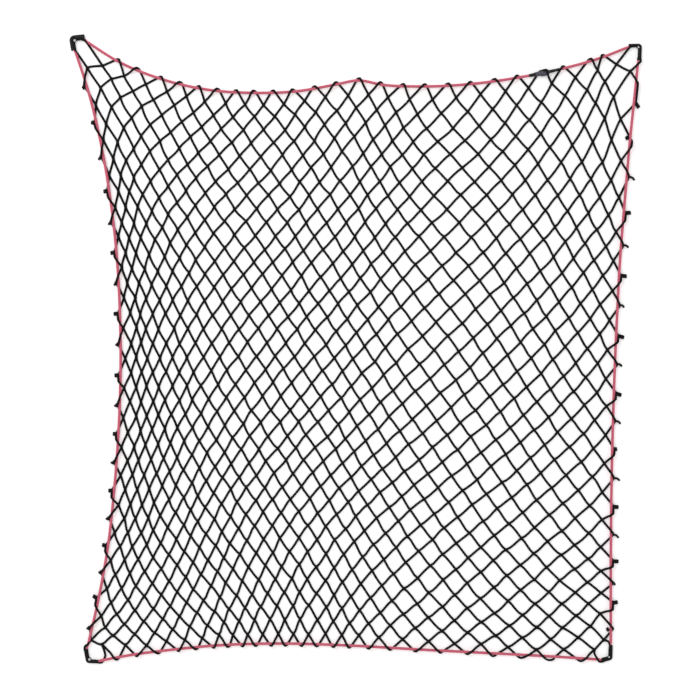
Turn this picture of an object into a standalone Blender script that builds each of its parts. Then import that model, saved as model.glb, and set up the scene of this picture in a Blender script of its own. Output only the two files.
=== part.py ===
"""Cargo net laid out flat: twine netting, a border cord, corner sleeves, a taped splice and edge knots.

Metres, +Z up. The net lies on the plane z = 0 with its top edge towards +Y, and the origin is
in the middle of its outline. The netting is drawn at twice the real mesh, one solid all through.
"""
import math

import bmesh
import bpy
from mathutils import Vector

MM = 0.001

# Middle of the outline in the tables below, in metres: the pieces are moved back by this.
OUTLINE_MIDDLE = (0.00189, -0.00274, 0.0)

# Twine and cord, in metres.
TWINE = 0.005
CORD_RADIUS = 0.0035
CORD_HEIGHT = 0.0088
TIE_RADIUS = 0.0021
LOOP_RADIUS = 0.0076
LOOP_FOOT = 0.0100
APEX = 0.0070
LOOP_SQUARING = 0.8
LOOP_TURN_DEGREES = (0.0, 60.0, 120.0, 180.0)
HOOK_TIP = 0.0012
SHARPEST_MITRE = 0.6
SHARPEST_CROTCH = 0.25

# Sleeves over the cord, in metres.
SLEEVE_RADIUS = 0.0065
SLEEVE_BORE = 0.0040
SLEEVE_HEIGHT = 0.0066
SLEEVE_BEND = 0.0105
SLEEVE_BEND_STEPS = 4
BORE_OVERRUN = 0.004
CORD_DROP = 0.014
CLEAR_OF_SLEEVE = 0.024
CLEAR_OF_SPLICE = 0.009
CORD_STEP = 0.080
SPLICE_JOINT = 0.4515
SPLICE_GAP = 0.0004

# The lattice: half meshes across and down, one knot wherever their sum is even.
HALF_MESHES_ACROSS = 26
HALF_MESHES_DOWN = 21
REAL_PER_DRAWN = 2
KNOTS_A_SIDE = 19

# Section of the twine: how far each edge stands to the side, at three heights.
TWINE_LEVELS = ((0.0, 0.0017), (0.5 * TWINE, 0.5 * TWINE), (TWINE, 0.0014))

# Shape of the laid-out netting. Columns are half meshes from the left edge, one row a line of
# meshes counted from the top, with x and y in millimetres.
COLUMNS = (0, 1, 5, 12, 20, 27, 33, 40, 47, 51, 52)
SECTIONS = (
    {"row": 0, "x": (-784, -692, -546, -369, -182, 8, 174, 376, 587, 746, 900),
     "y": (858, 786, 701, 653, 644, 671, 658, 680, 729, 809, 921)},
    {"row": 2, "x": (-705, -670, -557, -380, -178, 3, 154, 375, 580, 688, 742),
     "y": (720, 702, 648, 589, 582, 602, 588, 604, 648, 685, 703)},
    {"row": 7, "x": (-639, -623, -555, -399, -189, -13, 137, 364, 563, 663, 686),
     "y": (481, 479, 467, 426, 416, 421, 418, 422, 425, 424, 430)},
    {"row": 15, "x": (-601, -584, -526, -398, -211, -40, 116, 338, 536, 638, 660),
     "y": (166, 167, 162, 155, 151, 145, 141, 134, 116, 111, 108)},
    {"row": 24, "x": (-598, -581, -523, -407, -235, -65, 86, 295, 507, 624, 646),
     "y": (-177, -172, -167, -162, -152, -153, -170, -186, -208, -215, -216)},
    {"row": 33, "x": (-626, -608, -541, -411, -252, -96, 49, 251, 478, 614, 643),
     "y": (-493, -494, -493, -469, -444, -442, -457, -486, -514, -527, -530)},
    {"row": 40, "x": (-686, -656, -554, -391, -234, -96, 33, 248, 487, 621, 648),
     "y": (-740, -731, -716, -692, -678, -679, -688, -707, -727, -729, -744)},
    {"row": 42, "x": (-743, -678, -552, -380, -230, -96, 32, 246, 485, 636, 667),
     "y": (-830, -794, -772, -750, -745, -747, -751, -763, -782, -808, -854)},
)

# Border cord: how far across it lies at places along each edge, in millimetres. The first and
# last place of an edge are the mouths of its corner sleeves.
EDGES = {
    "top": {"along": (-678, -594, -489, -376, -251, -139, -49, 6, 69, 161, 286, 411, 519, 611, 681),
            "across": (772, 719, 676, 649, 640, 645, 661, 671, 660, 656, 662, 679, 701, 727, 754)},
    "bottom": {"along": (-644, -564, -464, -351, -189, -14, 161, 336, 486, 612),
               "across": (-780, -765, -752, -741, -736, -741, -751, -760, -768, -776)},
    "left": {"along": (-742, -628, -502, -352, -202, -52, 98, 248, 398, 522, 648, 746),
             "across": (-671, -643, -620, -603, -592, -587, -589, -598, -616, -638, -669, -701)},
    "right": {"along": (-740, -528, -328, -128, 72, 222, 372, 522, 648, 717),
              "across": (638, 638, 640, 645, 653, 661, 673, 686, 699, 706)},
}
OUTWARD = {"top": 1, "bottom": -1, "left": -1, "right": 1}

# Corners where the sleeved cord turns, in millimetres.
CORNERS = {
    "top_left": (-707.5, 777.5),
    "top_right": (707.5, 758.0),
    "bottom_right": (638.5, -778.5),
    "bottom_left": (-673.0, -780.0),
}

# The taped splice: radius over the cord at places along the top edge, in millimetres.
SPLICE = (
    {"x": 433, "radius": 4.6},
    {"x": 441, "radius": 6.0},
    {"x": 451, "radius": 8.3},
    {"x": 462, "radius": 8.7},
    {"x": 474, "radius": 7.6},
    {"x": 484, "radius": 5.4},
    {"x": 497, "radius": 4.8},
    {"x": 510, "radius": 4.6},
)

# One turn of a tie round the cord: out from the cord, up from the ground, along the cord (mm).
TIE_TURN = (
    {"out": -5.8, "up": 3.0, "along": -2.2},
    {"out": -6.2, "up": 12.0, "along": -1.0},
    {"out": 0.0, "up": 16.0, "along": 0.4},
    {"out": 6.2, "up": 12.0, "along": 1.8},
    {"out": 8.4, "up": 2.4, "along": 3.2},
)
TIE_TAILS_MM = (9.0, 15.0, 11.0, 7.0, 13.0)
SHORT_TAIL_SHARE = 0.5
TAIL_ENDS_ALONG_MM = (-3.4, 4.4)
TAIL_OFF_GROUND_MM = 0.1

MATERIALS = {
    "twine_black": {"color": (0.012, 0.012, 0.013), "roughness": 0.75, "metallic": 0.0},
    "cord_red": {"color": (0.72, 0.06, 0.10), "roughness": 0.6, "metallic": 0.0},
    "sleeve_black": {"color": (0.02, 0.021, 0.021), "roughness": 0.45, "metallic": 0.0},
    "tape_charcoal": {"color": (0.04, 0.04, 0.047), "roughness": 0.4, "metallic": 0.0},
}


def slope(places, values, k):
    """Slope of a smooth table column at its k-th place."""
    last = len(places) - 1
    if k == 0:
        return (values[1] - values[0]) / (places[1] - places[0])
    if k == last:
        return (values[last] - values[last - 1]) / (places[last] - places[last - 1])
    before = places[k] - places[k - 1]
    after = places[k + 1] - places[k]
    rise_before = (values[k] - values[k - 1]) / before
    rise_after = (values[k + 1] - values[k]) / after
    return (rise_before * after + rise_after * before) / (before + after)


def smooth(places, values, at):
    """Value of a table column at any place, on a smooth curve through its values."""
    k = 0
    while k < len(places) - 2 and at > places[k + 1]:
        k += 1
    width = places[k + 1] - places[k]
    s = (at - places[k]) / width
    rise = 3.0 * s * s - 2.0 * s * s * s
    start = s * s * s - 2.0 * s * s + s
    end = s * s * s - s * s
    return (values[k] + (values[k + 1] - values[k]) * rise
            + slope(places, values, k) * width * start + slope(places, values, k + 1) * width * end)


def sheet_point(across, down):
    """Place of the netting in plan, from real half meshes across and down."""
    rows = [section["row"] for section in SECTIONS]
    x = smooth(rows, [smooth(COLUMNS, section["x"], across) for section in SECTIONS], down)
    y = smooth(rows, [smooth(COLUMNS, section["y"], across) for section in SECTIONS], down)
    return Vector((x * MM, y * MM, 0.0))


def edge_point(edge, along):
    """Point on the cord's centre line in plan, at a place along one edge."""
    table = EDGES[edge]
    across = smooth(table["along"], table["across"], along / MM) * MM
    if edge in ("top", "bottom"):
        return Vector((along, across, 0.0))
    return Vector((across, along, 0.0))


def edge_frame(edge, along):
    """The cord's point, its direction along the edge and the direction out of the net."""
    here = edge_point(edge, along)
    ahead = (edge_point(edge, along + MM) - edge_point(edge, along - MM)).normalized()
    if edge in ("top", "bottom"):
        out = Vector((-ahead.y, ahead.x, 0.0)) * OUTWARD[edge]
    else:
        out = Vector((ahead.y, -ahead.x, 0.0)) * OUTWARD[edge]
    return here, ahead, out


def edge_ends(edge):
    """The two mouths of an edge's corner sleeves, as places along it."""
    places = EDGES[edge]["along"]
    return places[0] * MM, places[-1] * MM


def cord_height(edge, along):
    """Height of the cord's centre: it comes down to the ground beside a corner sleeve."""
    low, high = edge_ends(edge)
    share = min(max(min(along - low, high - along) / CORD_DROP, 0.0), 1.0)
    share = share * share * (3.0 - 2.0 * share)
    return SLEEVE_HEIGHT + (CORD_HEIGHT - SLEEVE_HEIGHT) * share


def edge_run(edge, start, stop, crossings):
    """Points of the cord along an edge: at each loop that crosses it, and between them."""
    low, high = edge_ends(edge)
    places = {start, stop, low, high, low + CORD_DROP, high - CORD_DROP}
    places.update(crossings)
    ordered = sorted(places)
    between = []
    for here, there in zip(ordered, ordered[1:]):
        count = int((there - here) / CORD_STEP) + 1
        between += [here + (there - here) * k / count for k in range(1, count)]
    first, last = min(start, stop), max(start, stop)
    kept = [p for p in sorted(ordered + between) if first <= p <= last]
    points = []
    for place in kept if start < stop else kept[::-1]:
        point = edge_point(edge, place)
        point.z = cord_height(edge, place)
        points.append(point)
    return points


def corner_run(corner, start, stop):
    """Points of the cord through a corner sleeve: straight, round the bend, straight."""
    turn = Vector((CORNERS[corner][0] * MM, CORNERS[corner][1] * MM, SLEEVE_HEIGHT))
    into = (turn - start).normalized()
    away = (stop - turn).normalized()
    bend = into.angle(away)
    reach = SLEEVE_BEND * math.tan(bend / 2.0)
    side = (away - into * into.dot(away)).normalized()
    centre = turn - into * reach + side * SLEEVE_BEND
    points = [start]
    for k in range(SLEEVE_BEND_STEPS + 1):
        angle = bend * k / SLEEVE_BEND_STEPS
        points.append(centre - side * SLEEVE_BEND * math.cos(angle) + into * SLEEVE_BEND * math.sin(angle))
    points.append(stop)
    return points


def border_path(crossings):
    """The cord's centre line round the net, from inside the splice and back, and its corners."""
    ends = {edge: edge_ends(edge) for edge in EDGES}
    runs = (
        ("top", SPLICE_JOINT + 0.5 * SPLICE_GAP, ends["top"][1]),
        ("right", ends["right"][1], ends["right"][0]),
        ("bottom", ends["bottom"][1], ends["bottom"][0]),
        ("left", ends["left"][0], ends["left"][1]),
        ("top", ends["top"][0], SPLICE_JOINT - 0.5 * SPLICE_GAP),
    )
    edge_runs = [edge_run(edge, start, stop, crossings[edge]) for edge, start, stop in runs]
    names = ("top_right", "bottom_right", "bottom_left", "top_left")
    corner_runs = {}
    path = list(edge_runs[0])
    for name, before, after in zip(names, edge_runs[:-1], edge_runs[1:]):
        corner_runs[name] = corner_run(name, before[-1], after[0])
        path += corner_runs[name][1:-1] + after
    return path, corner_runs


def make_material(name):
    """A Principled material with the piece's colour, roughness and metallic value."""
    material = bpy.data.materials.new(name)
    material.use_nodes = True
    shader = material.node_tree.nodes["Principled BSDF"]
    shader.inputs["Base Color"].default_value = (*MATERIALS[name]["color"], 1.0)
    shader.inputs["Roughness"].default_value = MATERIALS[name]["roughness"]
    shader.inputs["Metallic"].default_value = MATERIALS[name]["metallic"]
    return material


def add_mesh_object(name, mesh, collection, material):
    """An object for a finished mesh, in its collection and with its material."""
    mesh.name = name
    mesh.shade_smooth()
    mesh.set_sharp_from_angle(angle=math.radians(50.0))
    mesh.materials.clear()
    mesh.materials.append(material)
    return place_object(name, mesh, collection)


def place_object(name, mesh, collection):
    """An object hung on the empty that brings the outline's middle to the origin."""
    piece = bpy.data.objects.new(name, mesh)
    collection.objects.link(piece)
    piece.parent = bpy.data.objects["net_middle"]
    return piece


def tube_mesh(name, points, radius, resolution, scales=None):
    """A closed tube along the points, made by a bevelled curve and turned into a mesh."""
    data = bpy.data.curves.new(name, "CURVE")
    data.dimensions = "3D"
    data.bevel_depth = radius
    data.bevel_resolution = resolution
    data.use_fill_caps = True
    spline = data.splines.new("POLY")
    spline.points.add(len(points) - 1)
    for k, point in enumerate(points):
        spline.points[k].co = (point.x, point.y, point.z, 1.0)
        spline.points[k].radius = scales[k] if scales else 1.0
    curve = bpy.data.objects.new(name, data)
    bpy.context.scene.collection.objects.link(curve)
    bpy.context.view_layer.update()
    evaluated = curve.evaluated_get(bpy.context.evaluated_depsgraph_get())
    mesh = bpy.data.meshes.new_from_object(evaluated)
    bpy.data.objects.remove(curve)
    bpy.data.curves.remove(data)
    bm = bmesh.new()
    bm.from_mesh(mesh)
    bmesh.ops.remove_doubles(bm, verts=bm.verts, dist=0.00001)
    bmesh.ops.recalc_face_normals(bm, faces=bm.faces)
    bm.to_mesh(mesh)
    bm.free()
    return mesh


def add_bore(piece, points, radius, resolution, cutters):
    """Cut the cord's bore through a sleeve, with a tube that runs out of both its mouths."""
    before = points[0] + (points[0] - points[1]).normalized() * BORE_OVERRUN
    after = points[-1] + (points[-1] - points[-2]).normalized() * BORE_OVERRUN
    path = [before] + list(points) + [after]
    mesh = tube_mesh(piece.name + "_bore", path, radius, resolution)
    cutter = place_object(piece.name + "_bore", mesh, cutters)
    cutter.hide_render = True
    cutter.display_type = "WIRE"
    cut = piece.modifiers.new("bore", "BOOLEAN")
    cut.operation = "DIFFERENCE"
    cut.solver = "EXACT"
    cut.object = cutter


def plan_left(direction):
    """The direction to the left of a direction in plan."""
    return Vector((-direction.y, direction.x, 0.0)).normalized()


def path_ring(bm, point, before, after, side):
    """Six points of the twine's section where its path bends, in a plane that halves the bend."""
    into = (point - before).normalized()
    away = (after - point).normalized() if after is not None else into
    along = (into + away).normalized()
    side = (side - along * side.dot(along)).normalized()
    up = along.cross(side).normalized()
    stretch = 1.0 / max(along.dot(into), SHARPEST_MITRE)
    ring = []
    for sign, levels in ((1.0, TWINE_LEVELS), (-1.0, TWINE_LEVELS[::-1])):
        for height, reach in levels:
            spot = point + side * (sign * reach) + up * ((height - 0.5 * TWINE) * stretch)
            spot.z = max(spot.z, 0.0)
            ring.append(bm.verts.new(spot))
    return ring


def join_rings(bm, first, second):
    """Quads between two rings of six points, turned to the closest match."""
    count = len(first)
    best = min(range(count), key=lambda turn: sum(
        (first[k].co - second[(k + turn) % count].co).length for k in range(count)))
    for k in range(count):
        quad = (first[k], first[(k + 1) % count],
                second[(k + 1 + best) % count], second[(k + best) % count])
        bm.faces.new(quad)


def join_path(bm, rings):
    """Skin a run of rings."""
    for first, second in zip(rings, rings[1:]):
        join_rings(bm, first, second)


class Knot:
    """A place where twines meet: its crotches are shared by neighbouring twines."""

    def __init__(self, bm, centre, neighbours):
        self.centre = centre
        directions = [(name, (there - centre).normalized()) for name, there in neighbours.items()]
        directions.sort(key=lambda item: math.atan2(item[1].y, item[1].x))
        self.names = [name for name, direction in directions]
        self.crotches = []
        count = len(directions)
        for k in range(count):
            here = directions[k][1]
            there = directions[(k + 1) % count][1]
            sine = here.x * there.y - here.y * there.x
            column = []
            for height, reach in TWINE_LEVELS:
                spot = centre + (here + there) * (reach / max(sine, SHARPEST_CROTCH))
                column.append(bm.verts.new((spot.x, spot.y, height)))
            self.crotches.append(column)
        bm.faces.new([column[0] for column in self.crotches])
        bm.faces.new([column[-1] for column in self.crotches])

    def ring(self, name):
        """The six points where the twine to a neighbour leaves this knot."""
        k = self.names.index(name)
        return self.crotches[k] + self.crotches[k - 1][::-1]


def loop_rings(bm, start, here, out, finish):
    """Rings of a twine that goes under the cord, turns outside it and comes back over it."""
    apex = here + out * APEX
    incoming = ((apex - start).normalized() + out * LOOP_SQUARING).normalized()
    outgoing = ((finish - apex).normalized() - out * LOOP_SQUARING).normalized()
    slant = -outgoing.dot(out)
    foot = apex - incoming * ((APEX + LOOP_FOOT) / incoming.dot(out))
    steps = [(APEX, 0.5 * TWINE)]
    for angle in LOOP_TURN_DEGREES:
        turn = math.radians(angle)
        steps.append((LOOP_RADIUS * math.cos(turn), CORD_HEIGHT + LOOP_RADIUS * math.sin(turn)))
    steps.append((-LOOP_FOOT, 0.5 * TWINE))
    points = [Vector((foot.x, foot.y, 0.5 * TWINE))]
    for reach, height in steps:
        point = apex + outgoing * ((APEX - reach) / slant)
        points.append(Vector((point.x, point.y, height)))
    back = plan_left(-outgoing)
    sides = [plan_left(incoming), plan_left(incoming) + back] + [back] * (len(points) - 2)
    whole = [Vector((start.x, start.y, 0.5 * TWINE))] + points
    whole.append(Vector((finish.x, finish.y, 0.5 * TWINE)))
    return [path_ring(bm, whole[k], whole[k - 1], whole[k + 1], sides[k - 1])
            for k in range(1, len(whole) - 1)]


def hook_rings(bm, start, here, out):
    """Rings of a corner twine that goes under the cord and ends in a hook over it."""
    apex = here + out * APEX
    incoming = (apex - start).normalized()
    slant = incoming.dot(out)
    steps = [(APEX, 0.5 * TWINE)]
    for angle in LOOP_TURN_DEGREES:
        turn = math.radians(angle)
        steps.append((LOOP_RADIUS * math.cos(turn), CORD_HEIGHT + LOOP_RADIUS * math.sin(turn)))
    points = []
    for reach, height in steps:
        point = apex - incoming * ((APEX - reach) / slant)
        points.append(Vector((point.x, point.y, height)))
    points.append(points[-1] - Vector((0.0, 0.0, HOOK_TIP)))
    whole = [Vector((start.x, start.y, 0.5 * TWINE))] + points + [None]
    side = plan_left(incoming)
    return [path_ring(bm, whole[k], whole[k - 1], whole[k + 1], side)
            for k in range(1, len(whole) - 1)]


def edge_of(column, row):
    """Which edge a lattice place is on, if any."""
    if row == 0:
        return "top"
    if row == HALF_MESHES_DOWN:
        return "bottom"
    if column == 0:
        return "left"
    if column == HALF_MESHES_ACROSS:
        return "right"
    return None


def place_on_edge(edge, column, row):
    """Where a loop of the netting sits along the cord, clear of sleeves and splice."""
    plan = sheet_point(column * REAL_PER_DRAWN, row * REAL_PER_DRAWN)
    along = plan.x if edge in ("top", "bottom") else plan.y
    low, high = edge_ends(edge)
    along = min(max(along, low + CLEAR_OF_SLEEVE), high - CLEAR_OF_SLEEVE)
    if edge == "top":
        first = SPLICE[0]["x"] * MM - CLEAR_OF_SPLICE
        last = SPLICE[-1]["x"] * MM + CLEAR_OF_SPLICE
        if first < along < last:
            along = first if along - first < last - along else last
    return along


def lattice_neighbours(place):
    """The four places a twine can run to from a place of the lattice."""
    return [(place[0] + across, place[1] + down) for across in (-1, 1) for down in (-1, 1)]


def edge_chains(knots, loops):
    """Twines that turn at the cord: a knot, one loop, or two at a corner, and a knot."""
    chains = []
    used = set()
    for place, frame in loops.items():
        if place in used:
            continue
        run = [place] + [there for there in lattice_neighbours(place) if there in loops]
        used.update(run)
        first = [there for there in lattice_neighbours(run[0]) if there in knots]
        last = [there for there in lattice_neighbours(run[-1]) if there in knots]
        if len(run) == 1:
            on_right = frame[0].x > 0.0
            first, last = (first, last[::-1]) if on_right else (first[::-1], last)
        chains.append([first[0]] + run + [last[0]])
    return chains


def lay_out_lattice():
    """Where the knots, the loops over the cord and the corner hooks of the netting go."""
    knots_at = {}
    loops_at = {}
    hooks_at = {}
    corners = {(0, 0): ("top", "left"), (HALF_MESHES_ACROSS, 0): ("top", "right")}
    for row in range(HALF_MESHES_DOWN + 1):
        for column in range(row % 2, HALF_MESHES_ACROSS + 1, 2):
            place = (column, row)
            edge = edge_of(column, row)
            if edge is None:
                knots_at[place] = sheet_point(column * REAL_PER_DRAWN, row * REAL_PER_DRAWN)
            elif place not in corners:
                loops_at[place] = (edge, place_on_edge(edge, column, row))
    for place, edges in corners.items():
        for edge in edges:
            low, high = edge_ends(edge)
            from_low = edge == "top" and place[0] == 0
            along = low + CLEAR_OF_SLEEVE if from_low else high - CLEAR_OF_SLEEVE
            hooks_at[(place, edge)] = along
    return knots_at, loops_at, hooks_at


def tie_places():
    """Where each edge knot sits along the side edges, one for every real mesh."""
    places = []
    for side, column in (("left", 0), ("right", HALF_MESHES_ACROSS * REAL_PER_DRAWN)):
        for k in range(KNOTS_A_SIDE):
            places.append((side, k, sheet_point(column, 3 + 2 * k).y))
    return places


def add_netting(layout, collection, material):
    """The netting: knots joined by twines, with a loop over the cord at each edge mesh."""
    knots_at, loops_at, hooks_at = layout
    loop_frames = {place: edge_frame(edge, along) for place, (edge, along) in loops_at.items()}
    bm = bmesh.new()
    knots = {}
    for place, centre in knots_at.items():
        neighbours = {}
        for there in lattice_neighbours(place):
            if there in knots_at:
                neighbours[there] = knots_at[there]
            elif there in loop_frames:
                here, ahead, out = loop_frames[there]
                neighbours[there] = here - out * LOOP_FOOT
            else:
                for (corner, edge), along in hooks_at.items():
                    if corner == there:
                        neighbours[(corner, edge)] = edge_point(edge, along)
        knots[place] = Knot(bm, centre, neighbours)
    for place, knot in knots.items():
        for name in knot.names:
            if name in knots and name > place:
                join_rings(bm, knot.ring(name), knots[name].ring(place)[::-1])
    for chain in edge_chains(knots, loop_frames):
        stops = [knots[chain[0]].centre]
        stops += [loop_frames[place][0] - loop_frames[place][2] * LOOP_FOOT for place in chain[1:-1]]
        stops.append(knots[chain[-1]].centre)
        rings = [knots[chain[0]].ring(chain[1])]
        for k in range(1, len(chain) - 1):
            here, ahead, out = loop_frames[chain[k]]
            rings += loop_rings(bm, stops[k - 1], here, out, stops[k + 1])
        rings.append(knots[chain[-1]].ring(chain[-2])[::-1])
        join_path(bm, rings)
    for (corner, edge), along in hooks_at.items():
        other = next(place for place in knots if (corner, edge) in knots[place].names)
        here, ahead, out = edge_frame(edge, along)
        rings = hook_rings(bm, knots[other].centre, here, out)
        join_path(bm, [knots[other].ring((corner, edge))] + rings)
        bm.faces.new(rings[-1])
    bmesh.ops.recalc_face_normals(bm, faces=bm.faces)
    mesh = bpy.data.meshes.new("netting")
    bm.to_mesh(mesh)
    bm.free()
    return add_mesh_object("netting", mesh, collection, material)


def add_edge_knot(name, edge, along, tails, collection, material):
    """A tie knotted round the cord, with its two cut tails pointing out of the net."""
    here, ahead, out = edge_frame(edge, along)
    outer = TIE_TURN[-1]["out"]
    low = TIE_RADIUS / MM + TAIL_OFF_GROUND_MM
    first = {"out": outer + tails[0], "up": low, "along": TAIL_ENDS_ALONG_MM[0]}
    last = {"out": outer + tails[1], "up": low, "along": TAIL_ENDS_ALONG_MM[1]}
    points = []
    for step in (first,) + TIE_TURN + (last,):
        point = here + out * (step["out"] * MM) + ahead * (step["along"] * MM)
        points.append(Vector((point.x, point.y, step["up"] * MM)))
    mesh = tube_mesh(name, points, TIE_RADIUS, 1)
    return add_mesh_object(name, mesh, collection, material)


def clear_scene():
    """Start from an empty scene."""
    for item in list(bpy.context.scene.objects):
        bpy.data.objects.remove(item, do_unlink=True)


def main():
    """Build the net in one collection, and its cutters in another."""
    clear_scene()
    parts = bpy.data.collections.new("cargo_net")
    cutters = bpy.data.collections.new("cargo_net_cutters")
    bpy.context.scene.collection.children.link(parts)
    bpy.context.scene.collection.children.link(cutters)
    middle = bpy.data.objects.new("net_middle", None)
    middle.location = (-OUTLINE_MIDDLE[0], -OUTLINE_MIDDLE[1], -OUTLINE_MIDDLE[2])
    parts.objects.link(middle)
    materials = {name: make_material(name) for name in MATERIALS}
    layout = lay_out_lattice()
    ties = tie_places()
    add_netting(layout, parts, materials["twine_black"])
    crossings = {edge: [] for edge in EDGES}
    for edge, along in layout[1].values():
        crossings[edge].append(along)
    for (corner, edge), along in layout[2].items():
        crossings[edge].append(along)
    path, corner_runs = border_path(crossings)
    cord = tube_mesh("border_cord", path, CORD_RADIUS, 2)
    add_mesh_object("border_cord", cord, parts, materials["cord_red"])
    for corner, points in corner_runs.items():
        name = "corner_sleeve_" + corner
        mesh = tube_mesh(name, points, SLEEVE_RADIUS, 3)
        sleeve = add_mesh_object(name, mesh, parts, materials["sleeve_black"])
        add_bore(sleeve, points, SLEEVE_BORE, 2, cutters)
    splice_points = []
    for step in SPLICE:
        point = edge_point("top", step["x"] * MM)
        point.z = CORD_HEIGHT
        splice_points.append(point)
    widest = max(step["radius"] for step in SPLICE)
    scales = [step["radius"] / widest for step in SPLICE]
    mesh = tube_mesh("splice_sleeve", splice_points, widest * MM, 3, scales)
    splice = add_mesh_object("splice_sleeve", mesh, parts, materials["tape_charcoal"])
    add_bore(splice, splice_points, SLEEVE_BORE, 2, cutters)
    for edge, k, along in ties:
        count = len(TIE_TAILS_MM)
        tails = (TIE_TAILS_MM[k % count], TIE_TAILS_MM[(k + 2) % count] * SHORT_TAIL_SHARE)
        name = "edge_knot_{}_{:02d}".format(edge, k + 1)
        add_edge_knot(name, edge, along, tails, parts, materials["twine_black"])


main()
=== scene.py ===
"""Cargo net, dressed: twine netting at its real mesh, a braided cord, sleeves, a splice and ties."""
import math
import bmesh
import bpy
import numpy as np
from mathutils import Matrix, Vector


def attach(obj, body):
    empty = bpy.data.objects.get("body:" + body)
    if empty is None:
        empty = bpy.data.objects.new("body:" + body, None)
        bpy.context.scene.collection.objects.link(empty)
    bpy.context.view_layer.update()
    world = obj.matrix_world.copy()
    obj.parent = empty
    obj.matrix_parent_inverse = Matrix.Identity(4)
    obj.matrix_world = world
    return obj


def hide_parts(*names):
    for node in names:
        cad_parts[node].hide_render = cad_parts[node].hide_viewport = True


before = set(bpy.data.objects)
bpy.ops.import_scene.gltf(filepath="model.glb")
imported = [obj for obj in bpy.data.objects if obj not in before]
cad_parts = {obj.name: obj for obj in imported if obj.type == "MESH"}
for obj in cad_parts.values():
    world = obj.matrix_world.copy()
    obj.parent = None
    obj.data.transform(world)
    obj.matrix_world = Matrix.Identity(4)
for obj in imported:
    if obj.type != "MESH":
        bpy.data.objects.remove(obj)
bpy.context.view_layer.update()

bl_info = {
    "name": "Cargo Net",
    "version": (1, 0, 0),
    "blender": (4, 5, 0),
    "location": "3D View > Sidebar > Cargo Net",
    "description": "Builds a laid-out twine net on a braided border cord",
    "category": "Object",
}

MM = 0.001
BODY = "root"

# The image: its width in pixels, its scale, and the pixel at which the tables below have their origin.
IMAGE_PIXELS = 700
IMAGE_MM_PER_PIXEL = 2.5
TABLE_ORIGIN = (355.5, 349.0)

# Middle of the outline in the tables below, in millimetres: every place is moved back by this.
OUTLINE_MIDDLE = np.array([1.89, -2.74, 0.0])

# The lattice in half meshes: a knot wherever across + down is odd.
ACROSS = 52
DOWN = 42

# Shape of the laid-out netting, in millimetres, at a few half meshes across and down.
COLUMNS = (0, 1, 5, 12, 20, 27, 33, 40, 47, 51, 52)
SECTIONS = (
    {"row": 0, "x": (-784, -692, -546, -369, -182, 8, 174, 376, 587, 746, 900),
     "y": (858, 770, 701, 653, 644, 671, 658, 688, 730, 797, 905)},
    {"row": 2, "x": (-705, -670, -557, -380, -178, 3, 154, 375, 580, 688, 742),
     "y": (720, 708, 648, 589, 582, 602, 588, 604, 648, 696, 707)},
    {"row": 7, "x": (-639, -623, -555, -399, -189, -13, 137, 364, 563, 663, 686),
     "y": (481, 479, 467, 426, 416, 421, 418, 422, 425, 424, 430)},
    {"row": 15, "x": (-601, -584, -526, -398, -211, -40, 116, 338, 536, 638, 660),
     "y": (166, 167, 162, 155, 151, 145, 141, 134, 116, 111, 108)},
    {"row": 24, "x": (-598, -581, -523, -407, -235, -65, 86, 295, 507, 624, 646),
     "y": (-177, -172, -167, -162, -152, -153, -170, -186, -208, -215, -216)},
    {"row": 33, "x": (-626, -608, -541, -411, -252, -96, 49, 251, 478, 614, 643),
     "y": (-493, -494, -493, -469, -444, -442, -457, -486, -514, -527, -530)},
    {"row": 40, "x": (-686, -672, -554, -391, -234, -96, 33, 248, 487, 621, 648),
     "y": (-740, -731, -716, -692, -678, -679, -688, -707, -727, -729, -744)},
    {"row": 42, "x": (-743, -678, -548, -376, -230, -96, 32, 246, 485, 636, 667),
     "y": (-830, -779, -772, -750, -745, -747, -751, -763, -782, -808, -854)},
)

# Where the netting sags in a corner: the place in half meshes, how far round it, and the shift in
# millimetres.
CORNER_SAGS = (
    {"across": 2.0, "columns": 2.1, "down": 37.8, "rows": 2.9, "shift": (26, 6)},
    {"across": 1.7, "columns": 1.6, "down": 3.8, "rows": 1.9, "shift": (0, -12.5)},
    {"across": 50.4, "columns": 1.5, "down": 4.0, "rows": 1.9, "shift": (-1, -12)},
)

# Border cord: how far across it lies at places along each edge, in millimetres.
EDGES = {
    "top": {"along": (-678, -594, -489, -376, -251, -139, -49, 6, 69, 161, 286, 411, 519, 611, 681),
            "across": (772, 719, 676, 649, 640, 645, 661, 671, 660, 656, 662, 679, 701, 727, 754)},
    "bottom": {"along": (-644, -564, -464, -351, -189, -14, 161, 336, 486, 612),
               "across": (-780, -765, -752, -741, -736, -741, -751, -760, -768, -776)},
    "left": {"along": (-742, -628, -502, -352, -202, -52, 98, 248, 398, 522, 648, 746),
             "across": (-669, -643, -620, -603, -592, -587, -589, -598, -616, -638, -669, -701)},
    "right": {"along": (-740, -528, -328, -128, 72, 222, 372, 522, 648, 717),
              "across": (638, 638, 640, 645, 653, 661, 673, 686, 699, 706)},
}
OUTWARD = {"top": 1, "bottom": -1, "left": -1, "right": 1}

# The taped splice: its radius at places along the top edge, in millimetres.
SPLICE = {
    "x": (433, 441, 449, 457, 464, 470, 476, 481, 486, 492, 501, 510),
    "radius": (3.6, 4.4, 5.3, 6.2, 7.4, 8.8, 8.6, 6.4, 4.6, 4.0, 3.7, 3.5),
}
SPLICE_JOINT = 451.5
JOINT_GAP = 0.2
SPLICE_RINGS = 90

# The tape's turns, in millimetres: how far apart, how far it is wound in, and the step at an edge;
# then how lumpy it is, how the lumps twist along it, its least radius, and how far it stays off the
# cord and the floor.
TAPE = {"turn": 6.0, "wound_in": 0.35, "step": 0.45, "lump": 0.05, "twist": 0.45, "least": 3.6, "clear": 0.1}

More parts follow.
